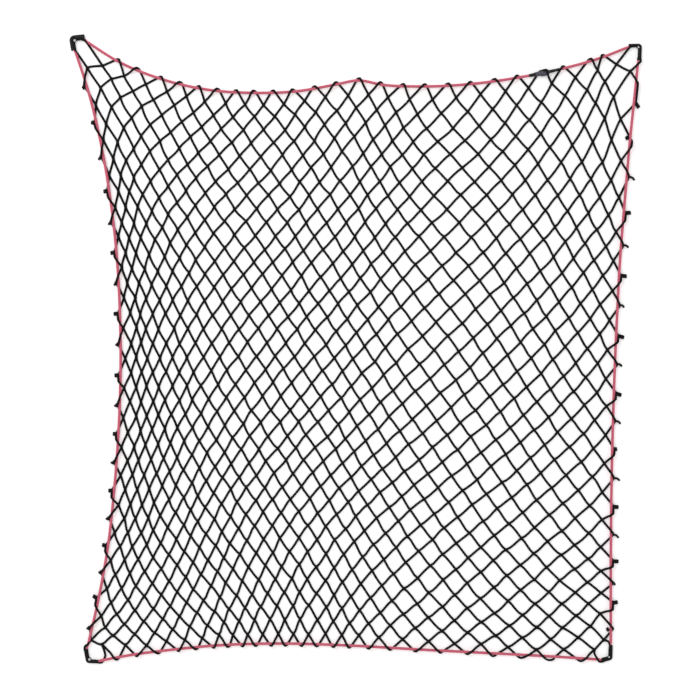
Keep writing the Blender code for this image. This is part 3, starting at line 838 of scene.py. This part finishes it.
def strand_piece(name, lines, material, radius, sides, thickness=None, step=0.0, relief=0.0,
                 plait=TWINE_PLAIT):
    """A piece of round strands along the given lines, with its plaits raised where relief is given."""
    tree = bpy.data.node_groups.get("Braided Strands") or strand_tree()
    return grow(line_piece(name, lines, thickness), tree, {
        "Radius": radius, "Sides": sides, "Step": step, "Relief": relief, "Plait": plait,
        "Strands": PLAITS_ROUND, "Material": material})


def ring_frames(points):
    """A side and an up direction at each point of a line, turning as little as possible."""
    ways = np.gradient(points, axis=0)
    ways /= np.linalg.norm(ways, axis=1)[:, None]
    side = unit(np.cross(ways[0], np.array([0.0, 0.0, 1.0])))
    frames = []
    for way in ways:
        side = unit(side - way * (side @ way))
        frames.append((side, np.cross(side, way)))
    return frames


def sleeve_piece(name, points, outer, bore, sides, material):
    """A sleeve along a line: an outer wall with its own radius at each point, and a bore through it."""
    points = np.asarray(points, float)
    frames = ring_frames(points)
    bm = bmesh.new()
    way = way_along(points)
    along = bm.verts.layers.float.new("along")
    ring_layer = bm.verts.layers.float_vector.new("ring")
    walls = []
    for wall, order in ((outer, range(len(points))), (bore, range(len(points) - 1, -1, -1))):
        for k in order:
            ring = []
            for n in range(sides):
                angle = math.tau * n / sides
                radius = wall(k, angle) if callable(wall) else wall
                around = frames[k][0] * math.cos(angle) + frames[k][1] * math.sin(angle)
                spot = (points[k] + around * radius - OUTLINE_MIDDLE) * MM
                vert = bm.verts.new(spot)
                vert[along] = way[k] * MM
                vert[ring_layer] = Vector((math.cos(angle), math.sin(angle), 0.0))
                ring.append(vert)
            walls.append(ring)
    for first, second in zip(walls, walls[1:] + walls[:1]):
        for n in range(sides):
            bm.faces.new((first[n], first[(n + 1) % sides], second[(n + 1) % sides], second[n]))
    bmesh.ops.recalc_face_normals(bm, faces=bm.faces)
    mesh = bpy.data.meshes.new(name)
    bm.to_mesh(mesh)
    bm.free()
    mesh.shade_smooth()
    mesh.set_sharp_from_angle(angle=math.radians(50.0))
    mesh.materials.append(material)
    return new_object(mesh)


def settle(piece, slot, *nodes):
    """Let a finished piece ride on the net and stand for its nodes; its slot is not used."""
    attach(piece, BODY)
    if nodes:
        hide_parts(*nodes)


# ---------------------------------------------------------------- materials


def new_material(name, constants):
    """A material, its nodes and its shader, with the shader's constants set."""
    material = bpy.data.materials.new(name)
    material.use_nodes = True
    shader = material.node_tree.nodes["Principled BSDF"]
    for label, value in constants.items():
        shader.inputs[label].default_value = value
    return material, material.node_tree, shader


def braid_material(name, colour, dark, roughness, gloss, plait, bump):
    """Braided yarn from the way along and round a strand: plaits in the yarn's colour, with painted shade in
    the gaps between them.
    """
    material, tree, shader = new_material(name, {
        "Roughness": roughness, "IOR": 1.49, "Specular IOR Level": gloss, "Sheen Weight": 0.02})
    along = add(tree, "ShaderNodeAttribute", attribute_name="along")
    ring = add(tree, "ShaderNodeAttribute", attribute_name="ring")
    weave = weave_pattern(tree, along.outputs["Fac"], ring.outputs["Vector"], PLAITS_ROUND,
                          math.tau / plait)
    where = add(tree, "ShaderNodeTexCoord")
    fuzz = add(tree, "ShaderNodeTexNoise",
               {"Vector": where.outputs["Object"], "Scale": 900.0, "Detail": 3.0})
    mixed = add(tree, "ShaderNodeMath", (fuzz, 0.35, weave), operation="MULTIPLY_ADD")
    tone = add(tree, "ShaderNodeMapRange", {"Value": mixed, "From Min": -0.9, "From Max": 1.1})
    # The plait pattern mixes painted shade into the gaps between plaits; the fuzz adds uneven tone.
    blend = add(tree, "ShaderNodeMix", {"Factor": tone, 6: (*dark, 1.0), 7: (*colour, 1.0)},
                data_type="RGBA")
    relief = add(tree, "ShaderNodeBump", {"Strength": 0.8, "Distance": bump * MM, "Height": mixed})
    tree.links.new(blend.outputs[2], shader.inputs["Base Color"])
    tree.links.new(relief.outputs[0], shader.inputs["Normal"])
    return material


def wrap_material(name, colour, pale, roughness, gloss, band, bump, middle=None):
    """Rubber or tape, uneven in tone, its turns a band apart; darker outside its middle stretch."""
    material, tree, shader = new_material(name, {"IOR": 1.52, "Specular IOR Level": gloss})
    along = add(tree, "ShaderNodeAttribute", attribute_name="along")
    turns = add(tree, "ShaderNodeMath", (along.outputs["Fac"], 1.0 / (band * MM)), operation="MULTIPLY")
    edge = add(tree, "ShaderNodeMath", (turns,), operation="FRACT")
    where = add(tree, "ShaderNodeTexCoord")
    scuff = add(tree, "ShaderNodeTexNoise",
                {"Vector": where.outputs["Object"], "Scale": 260.0, "Detail": 5.0})
    tone = add(tree, "ShaderNodeMapRange", {"Value": scuff, "From Min": 0.35, "From Max": 0.75})
    blend = add(tree, "ShaderNodeMix", {"Factor": tone, 6: (*colour, 1.0), 7: (*pale, 1.0)},
                data_type="RGBA")
    colour_out = blend.outputs[2]
    if middle:
        for start, stop in ((middle[0] - 3.0, middle[0] + 3.0), (middle[1] + 3.0, middle[1] - 1.0)):
            share = add(tree, "ShaderNodeMapRange",
                        {"Value": along.outputs["Fac"], "From Min": start * MM, "From Max": stop * MM},
                        interpolation_type="SMOOTHSTEP")
            ends = add(tree, "ShaderNodeMix",
                       {"Factor": share, 6: (*linear("#0e0e10"), 1.0), 7: colour_out}, data_type="RGBA")
            colour_out = ends.outputs[2]
    matt = add(tree, "ShaderNodeMapRange",
               {"Value": scuff, "To Min": roughness - 0.08, "To Max": roughness + 0.12})
    height = add(tree, "ShaderNodeMath", (scuff, 0.3, edge), operation="MULTIPLY_ADD")
    relief = add(tree, "ShaderNodeBump", {"Strength": 0.6, "Distance": bump * MM, "Height": height})
    tree.links.new(colour_out, shader.inputs["Base Color"])
    tree.links.new(matt.outputs[0], shader.inputs["Roughness"])
    tree.links.new(relief.outputs[0], shader.inputs["Normal"])
    return material


def material_named(name, make, **values):
    """The material of that name, made once."""
    return bpy.data.materials.get(name) or make(name, **values)


def twine_material(net):
    """Braided polypropylene twine: matt black with a faint sheen, and painted shade in the gaps between its
    plaits.
    """
    return material_named(
        "braided_polypropylene_twine", braid_material, colour=net.twine_colour, dark=linear("#040405"),
        roughness=0.72, gloss=0.12, plait=TWINE_PLAIT, bump=0.25)


def cord_material(net):
    """Braided polyester cord: coral red, with painted shade in the gaps between its plaits."""
    return material_named(
        "braided_polyester_cord", braid_material, colour=net.cord_colour, dark=linear("#b04860"),
        roughness=0.6, gloss=0.3, plait=CORD_PLAIT, bump=0.3)


def rubber_material(net):
    """Shrunk rubber sleeve: black and satin, with soft scuffs."""
    return material_named(
        "shrunk_rubber_sleeve", wrap_material, colour=net.sleeve_colour, pale=linear("#181a1a"),
        roughness=0.3, gloss=0.12, band=4.0, bump=0.12)


def tape_material(net):
    """Wound vinyl tape: charcoal with a low gloss, and a step at the edge of each turn."""
    return material_named(
        "wound_vinyl_tape", wrap_material, colour=net.tape_colour, pale=linear("#5b5a65"),
        roughness=0.4, gloss=0.3, band=TAPE["turn"], bump=0.4, middle=(17.0, 51.0))


def floor_material():
    """Matt white acrylic table that glows faintly: even and pale, so that only the net shows."""
    return new_material("matt_white_acrylic", {
        "Base Color": (*linear("#fafafa"), 1.0), "Roughness": 0.95,
        "Emission Color": (1.0, 1.0, 1.0, 1.0), "Emission Strength": 0.3})[0]


# ---------------------------------------------------------------- settings, operators, panel


def length_setting(name, description, default):
    """A length among the settings, in metres."""
    return bpy.props.FloatProperty(name=name, description=description, default=default, unit="LENGTH")


def colour_setting(name, description, hex_colour):
    """A colour among the settings."""
    return bpy.props.FloatVectorProperty(
        name=name, description=description, default=linear(hex_colour), subtype="COLOR")


class CargoNetSettings(bpy.types.PropertyGroup):
    """Sizes and colours of the net."""

    twine: length_setting("Twine", "Diameter of the netting's twine", 0.0059)
    cord: length_setting("Cord", "Diameter of the border cord", 0.0071)
    knot_length: length_setting("Knot Length", "Length of a netting knot", 0.0088)
    unevenness: length_setting("Unevenness", "How far knots lie from an even mesh", 0.0014)
    twine_colour: colour_setting("Twine Colour", "Colour of the twine", "#101012")
    cord_colour: colour_setting("Cord Colour", "Colour of the border cord", "#de6a80")
    sleeve_colour: colour_setting("Sleeve Colour", "Colour of the corner sleeves", "#0e0f0f")
    tape_colour: colour_setting("Tape Colour", "Colour of the taped splice", "#3f3e49")


class CARGO_NET_OT_netting(bpy.types.Operator):
    """Build the twine netting at its real mesh, with its loops round the border cord"""

    bl_idname = "cargo_net.netting"
    bl_label = "Netting"

    def execute(self, context):
        net = context.scene.cargo_net
        lattice = Lattice(net)
        lines = strand_lines(lattice) + edge_lines(lattice, net)
        piece = strand_piece("netting_twine", lines, twine_material(net), net.twine / 2.0, SIDES["twine"])
        settle(piece, "twine_black", "netting")
        return {"FINISHED"}


class CARGO_NET_OT_knots(bpy.types.Operator):
    """Build the netting's knots, where its twines run side by side"""

    bl_idname = "cargo_net.knots"
    bl_label = "Netting Knots"

    def execute(self, context):
        net = context.scene.cargo_net
        lattice = Lattice(net)
        places = list(lattice.places)
        height = net.twine * KNOT["height"]
        points = (np.array([lattice.places[place] for place in places]) - OUTLINE_MIDDLE) * MM
        points[:, 2] = height * KNOT["middle"]
        mesh = bpy.data.meshes.new("netting_knots")
        mesh.from_pydata([tuple(point) for point in points], [], [])
        facing = mesh.attributes.new("facing", "FLOAT_VECTOR", "POINT")
        facing.data.foreach_set("vector", np.array([lattice.ups[place] for place in places]).ravel())
        piece = new_object(mesh)
        grow(piece, knot_tree(), {
            "Length": net.knot_length, "Width": net.twine * KNOT["width"], "Height": height,
            "Unevenness": KNOT["unevenness"], "Seed": SEED, "Material": twine_material(net)})
        settle(piece, "twine_black")
        return {"FINISHED"}


class CARGO_NET_OT_border_cord(bpy.types.Operator):
    """Build the braided border cord, with its plaits raised"""

    bl_idname = "cargo_net.border_cord"
    bl_label = "Border Cord"

    def execute(self, context):
        net = context.scene.cargo_net
        path, thickness = border_run()
        piece = strand_piece(
            "braided_cord", [path], cord_material(net), net.cord / 2.0 - CORD_RELIEF, SIDES["cord"],
            thickness, step=CORD_STEP, relief=CORD_RELIEF, plait=CORD_PLAIT)
        settle(piece, "cord_red", "border_cord")
        return {"FINISHED"}


class CARGO_NET_OT_corner_sleeves(bpy.types.Operator):
    """Build the sleeve over the cord at each corner, flared at its mouths"""

    bl_idname = "cargo_net.corner_sleeves"
    bl_label = "Corner Sleeves"

    def execute(self, context):
        net = context.scene.cargo_net
        for corner, sleeve in SLEEVES.items():
            run = sleeve_run(corner)
            stops, line = evenly(run, SLEEVE_STEP)
            end = stops[-1]
            bend = (np.linalg.norm(run[1] - run[0]), end - np.linalg.norm(run[-1] - run[-2]))
            hole = sleeve["hole"]
            places = (0.0, bend[0] * ARM_SHARE, bend[0] - hole - BEND_LEAD, bend[0] - hole * BEND_SHARE,
                      bend[1] + hole * BEND_SHARE, bend[1] + hole + BEND_LEAD,
                      end * (1.0 - ARM_SHARE) + bend[1] * ARM_SHARE, end)
            first, one, two, last = sleeve["spare"]
            spare = np.interp(stops, places, (first, one, one, 0.0, 0.0, two, two, last))

            def wall(k, angle, spare=spare, sleeve=sleeve):
                """Radius of the sleeve, with its ribs, and wider where the twine lies inside."""
                tube = sleeve["tube"] + sleeve["rib"] * math.sin(k * RIB_TURN + angle)
                inward = math.cos(angle)
                wide = tube + spare[k] if inward > 0.0 else tube
                return tube * wide / math.hypot(tube * inward, wide * math.sin(angle))

            def bore(k, angle, wall=wall):
                """Radius of the sleeve's inner side."""
                return wall(k, angle) - SLEEVE_WALL

            piece = sleeve_piece("sleeve_" + corner, line, wall, bore, SIDES["sleeve"], rubber_material(net))
            settle(piece, "sleeve_black", "corner_sleeve_" + corner)
            first, turn = bend_angles(corner, *sleeve["ends"])
            fold = round_gap(corner, hole + FOLD_RADIUS, first - turn, math.tau - turn)
            piece = strand_piece(
                "sleeve_fold_" + corner, [fold], rubber_material(net), FOLD_RADIUS * MM, SIDES["fold"])
            settle(piece, "sleeve_black")
        return {"FINISHED"}


class CARGO_NET_OT_splice(bpy.types.Operator):
    """Build the taped splice on the top edge, with the edges of its turns raised"""

    bl_idname = "cargo_net.splice"
    bl_label = "Splice"

    def execute(self, context):
        net = context.scene.cargo_net
        stops = [SPLICE["x"][0] + (SPLICE["x"][-1] - SPLICE["x"][0]) * k / SPLICE_RINGS
                 for k in range(SPLICE_RINGS + 1)]
        line = []
        for stop in stops:
            point = edge_point("top", stop)
            point[2] = CORD_HEIGHT
            line.append(point)

        def wall(k, angle):
            """Radius of the tape: the splice's own profile, with a step at each turn's edge."""
            turn = (stops[k] / TAPE["turn"] + angle / math.tau) % 1.0
            lump = TAPE["lump"] * math.sin(2.0 * angle + stops[k] * TAPE["twist"])
            radius = smooth(SPLICE["x"], SPLICE["radius"], stops[k]) * (1.0 + lump)
            radius = radius - TAPE["wound_in"] + TAPE["step"] * turn
            return min(max(radius, TAPE["least"]), CORD_HEIGHT - TAPE["clear"])

        bore = net.cord / MM / 2.0 + TAPE["clear"]
        piece = sleeve_piece("tape_splice", line, wall, bore, SIDES["splice"], tape_material(net))
        settle(piece, "tape_charcoal", "splice_sleeve")
        return {"FINISHED"}


class CARGO_NET_OT_side_ties(bpy.types.Operator):
    """Build the knotted cut ends that stick out past the cord at each side mesh"""

    bl_idname = "cargo_net.side_ties"
    bl_label = "Side Ties"

    def execute(self, context):
        net = context.scene.cargo_net
        draw = np.random.default_rng(SEED + 2)
        for edge in ("left", "right"):
            for k in range(TIES_A_SIDE):
                name = "{}_{:02d}".format(edge, k + 1)
                piece = strand_piece("tie_" + name, tie_lines(edge, k, draw, net), twine_material(net),
                                     net.twine / 2.0, SIDES["tie"])
                settle(piece, "twine_black", "edge_knot_" + name)
        return {"FINISHED"}


class CARGO_NET_OT_stage(bpy.types.Operator):
    """Set up the white floor, the soft light and the camera straight above the net"""

    bl_idname = "cargo_net.stage"
    bl_label = "Stage"

    def execute(self, context):
        scene = context.scene
        scene.view_settings.view_transform = "Standard"
        bpy.ops.mesh.primitive_plane_add(size=14.0)
        floor = context.object
        floor.name = "floor"
        floor.data.materials.append(floor_material())
        world = bpy.data.worlds.new("studio")
        world.use_nodes = True
        background = world.node_tree.nodes["Background"]
        background.inputs["Color"].default_value = (1.0, 1.0, 1.0, 1.0)
        background.inputs["Strength"].default_value = 0.76
        scene.world = world
        key = bpy.data.lights.new("key", "AREA")
        key.shape = "SQUARE"
        key.size = 1.0
        key.energy = 34.0
        lamp = new_object(key)
        lamp.location = (-1.7, 1.5, 3.6)
        lamp.rotation_euler = (-lamp.location).to_track_quat("-Z", "Y").to_euler()
        data = bpy.data.cameras.new("above")
        data.sensor_width = 36.0
        data.lens = 85.0
        camera = new_object(data)
        width = IMAGE_PIXELS * IMAGE_MM_PER_PIXEL * MM
        middle = IMAGE_PIXELS / 2.0
        aim = (np.array([middle - TABLE_ORIGIN[0], TABLE_ORIGIN[1] - middle, 0.0]) * IMAGE_MM_PER_PIXEL
               - OUTLINE_MIDDLE) * MM
        camera.location = (aim[0], aim[1], width * data.lens / data.sensor_width + SLEEVE_HEIGHT * MM)
        scene.camera = camera
        return {"FINISHED"}


class CARGO_NET_PT_panel(bpy.types.Panel):
    """Sizes, colours and pieces of the net."""

    bl_idname = "CARGO_NET_PT_panel"
    bl_label = "Cargo Net"
    bl_space_type = "VIEW_3D"
    bl_region_type = "UI"
    bl_category = "Cargo Net"

    def draw(self, context):
        net = context.scene.cargo_net
        for name in CargoNetSettings.__annotations__:
            self.layout.prop(net, name)
        for operator in OPERATORS:
            self.layout.operator(operator.bl_idname)


OPERATORS = (
    CARGO_NET_OT_stage,
    CARGO_NET_OT_netting,
    CARGO_NET_OT_knots,
    CARGO_NET_OT_border_cord,
    CARGO_NET_OT_corner_sleeves,
    CARGO_NET_OT_splice,
    CARGO_NET_OT_side_ties,
)


def register():
    """Register the settings, the operators and the panel."""
    for item in (CargoNetSettings, *OPERATORS, CARGO_NET_PT_panel):
        bpy.utils.register_class(item)
    bpy.types.Scene.cargo_net = bpy.props.PointerProperty(type=CargoNetSettings)


def unregister():
    """Take them away again."""
    del bpy.types.Scene.cargo_net
    for item in (CARGO_NET_PT_panel, *reversed(OPERATORS), CargoNetSettings):
        bpy.utils.unregister_class(item)


def main():
    """Build each piece in order."""
    register()
    for operator in OPERATORS:
        group, name = operator.bl_idname.split(".")
        getattr(getattr(bpy.ops, group), name)()


if __name__ == "__main__":
    main()
